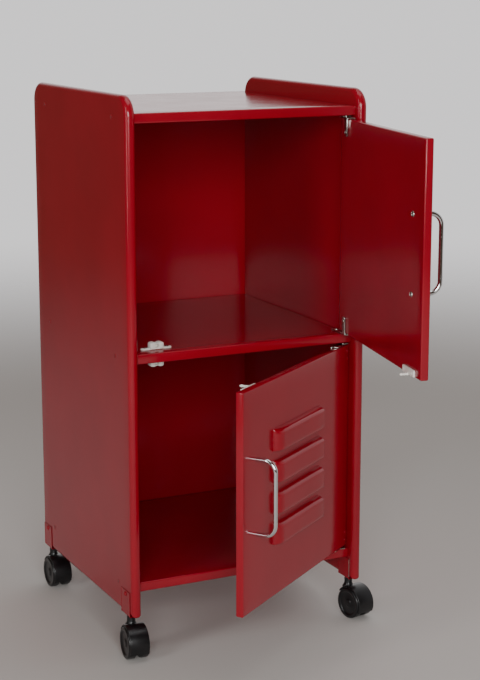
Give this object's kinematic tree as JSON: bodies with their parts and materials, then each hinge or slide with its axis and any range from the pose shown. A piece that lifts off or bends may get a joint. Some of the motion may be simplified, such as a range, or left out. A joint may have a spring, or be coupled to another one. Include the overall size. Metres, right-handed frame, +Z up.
{
  "type": "locker cabinet",
  "caption": "Upright locker-style storage cabinet in red lacquered board with stacked compartments, louvred hinged doors, bow handles and swivel castors.",
  "frame": {"origin": "on the floor under the middle of the whole outline, taken with both doors open as stored", "axes": "+Z up; the doors face -Y when shut; the door hinges are on the +X side"},
  "size_m": [0.429, 0.7284, 0.855],
  "materials": {
    "red_lacquer": "gloss red lacquer on board",
    "red_metal": "gloss red paint on pressed steel",
    "polished_chrome": "polished chrome plate",
    "zinc_steel": "bright zinc plate, slightly dull",
    "white_plastic": "moulded white plastic",
    "black_nylon": "satin black nylon"
  },
  "bodies": {
    "cabinet": {"back_panel": "red_lacquer", "bottom_shelf": "red_lacquer", "bracket_screw_front_left": "red_metal", "bracket_screw_front_right": "red_metal", "bracket_screw_rear_left": "red_metal", "bracket_screw_rear_right": "red_metal", "castor_bracket_front_left": "red_metal", "castor_bracket_front_right": "red_metal", "castor_bracket_rear_left": "red_metal", "castor_bracket_rear_right": "red_metal", "castor_stem_front_left": "zinc_steel", "castor_stem_front_right": "zinc_steel", "castor_stem_rear_left": "zinc_steel", "castor_stem_rear_right": "zinc_steel", "left_side_panel": "red_lacquer", "lower_bottom_pivot_plate": "zinc_steel", "lower_catch": "white_plastic", "lower_top_pivot_plate": "zinc_steel", "middle_shelf": "red_lacquer", "right_side_panel": "red_lacquer", "top_board": "red_lacquer", "upper_bottom_pivot_plate": "zinc_steel", "upper_catch": "white_plastic", "upper_top_pivot_plate": "zinc_steel"},
    "upper_door": {"upper_door_bottom_bracket": "zinc_steel", "upper_door_handle": "polished_chrome", "upper_door_keeper": "white_plastic", "upper_door_panel": "red_lacquer", "upper_door_top_bracket": "zinc_steel", "upper_handle_screw_bottom": "zinc_steel", "upper_handle_screw_top": "zinc_steel"},
    "lower_door": {"lower_door_bottom_bracket": "zinc_steel", "lower_door_handle": "polished_chrome", "lower_door_keeper": "white_plastic", "lower_door_panel": "red_lacquer", "lower_door_top_bracket": "zinc_steel", "lower_handle_screw_bottom": "zinc_steel", "lower_handle_screw_top": "zinc_steel"},
    "castor_front_left": {"castor_hood_front_left": "black_nylon", "castor_axle_front_left": "zinc_steel"},
    "wheel_front_left_a": {"castor_wheel_front_left_a": "black_nylon"},
    "wheel_front_left_b": {"castor_wheel_front_left_b": "black_nylon"},
    "castor_front_right": {"castor_hood_front_right": "black_nylon", "castor_axle_front_right": "zinc_steel"},
    "wheel_front_right_a": {"castor_wheel_front_right_a": "black_nylon"},
    "wheel_front_right_b": {"castor_wheel_front_right_b": "black_nylon"},
    "castor_rear_left": {"castor_hood_rear_left": "black_nylon", "castor_axle_rear_left": "zinc_steel"},
    "wheel_rear_left_a": {"castor_wheel_rear_left_a": "black_nylon"},
    "wheel_rear_left_b": {"castor_wheel_rear_left_b": "black_nylon"},
    "castor_rear_right": {"castor_hood_rear_right": "black_nylon", "castor_axle_rear_right": "zinc_steel"},
    "wheel_rear_right_a": {"castor_wheel_rear_right_a": "black_nylon"},
    "wheel_rear_right_b": {"castor_wheel_rear_right_b": "black_nylon"}
  },
  "joints": [
    {"name": "upper_door_hinge", "type": "hinge", "parent": "cabinet", "child": "upper_door", "pos_m": [0.17149, -0.01579, 0.4767], "axis": [0, 0, 1], "range_deg": [-78.7, 16.3]},
    {"name": "lower_door_hinge", "type": "hinge", "parent": "cabinet", "child": "lower_door", "pos_m": [0.17149, -0.01579, 0.1202], "axis": [0, 0, 1], "range_deg": [-36.3, 58.7]},
    {"name": "castor_front_left_swivel", "type": "hinge", "parent": "cabinet", "child": "castor_front_left", "pos_m": [-0.19401, -0.00979, 0.06], "axis": [0, 0, 1], "continuous": true},
    {"name": "wheel_front_left_a_spin", "type": "hinge", "parent": "castor_front_left", "child": "wheel_front_left_a", "pos_m": [-0.18487, -0.02866, 0.025], "axis": [-0.9962, 0.0872, 0], "continuous": true},
    {"name": "wheel_front_left_b_spin", "type": "hinge", "parent": "castor_front_left", "child": "wheel_front_left_b", "pos_m": [-0.20629, -0.02679, 0.025], "axis": [-0.9962, 0.0872, 0], "continuous": true},
    {"name": "castor_front_right_swivel", "type": "hinge", "parent": "cabinet", "child": "castor_front_right", "pos_m": [0.18999, -0.00979, 0.06], "axis": [0, 0, 1], "continuous": true},
    {"name": "wheel_front_right_a_spin", "type": "hinge", "parent": "castor_front_right", "child": "wheel_front_right_a", "pos_m": [0.20397, -0.02541, 0.025], "axis": [-0.9816, -0.1908, 0], "continuous": true},
    {"name": "wheel_front_right_b_spin", "type": "hinge", "parent": "castor_front_right", "child": "wheel_front_right_b", "pos_m": [0.18287, -0.02951, 0.025], "axis": [-0.9816, -0.1908, 0], "continuous": true},
    {"name": "castor_rear_left_swivel", "type": "hinge", "parent": "cabinet", "child": "castor_rear_left", "pos_m": [-0.19401, 0.34021, 0.06], "axis": [0, 0, 1], "continuous": true},
    {"name": "wheel_rear_left_a_spin", "type": "hinge", "parent": "castor_rear_left", "child": "wheel_rear_left_a", "pos_m": [-0.18295, 0.3224, 0.025], "axis": [-0.9998, -0.0175, 0], "continuous": true},
    {"name": "wheel_rear_left_b_spin", "type": "hinge", "parent": "castor_rear_left", "child": "wheel_rear_left_b", "pos_m": [-0.20445, 0.32202, 0.025], "axis": [-0.9998, -0.0175, 0], "continuous": true},
    {"name": "castor_rear_right_swivel", "type": "hinge", "parent": "cabinet", "child": "castor_rear_right", "pos_m": [0.18999, 0.34021, 0.06], "axis": [0, 0, 1], "continuous": true},
    {"name": "wheel_rear_right_a_spin", "type": "hinge", "parent": "castor_rear_right", "child": "wheel_rear_right_a", "pos_m": [0.20227, 0.32321, 0.025], "axis": [-0.9962, -0.0872, 0], "continuous": true},
    {"name": "wheel_rear_right_b_spin", "type": "hinge", "parent": "castor_rear_right", "child": "wheel_rear_right_b", "pos_m": [0.18085, 0.32134, 0.025], "axis": [-0.9962, -0.0872, 0], "continuous": true}
  ]
}
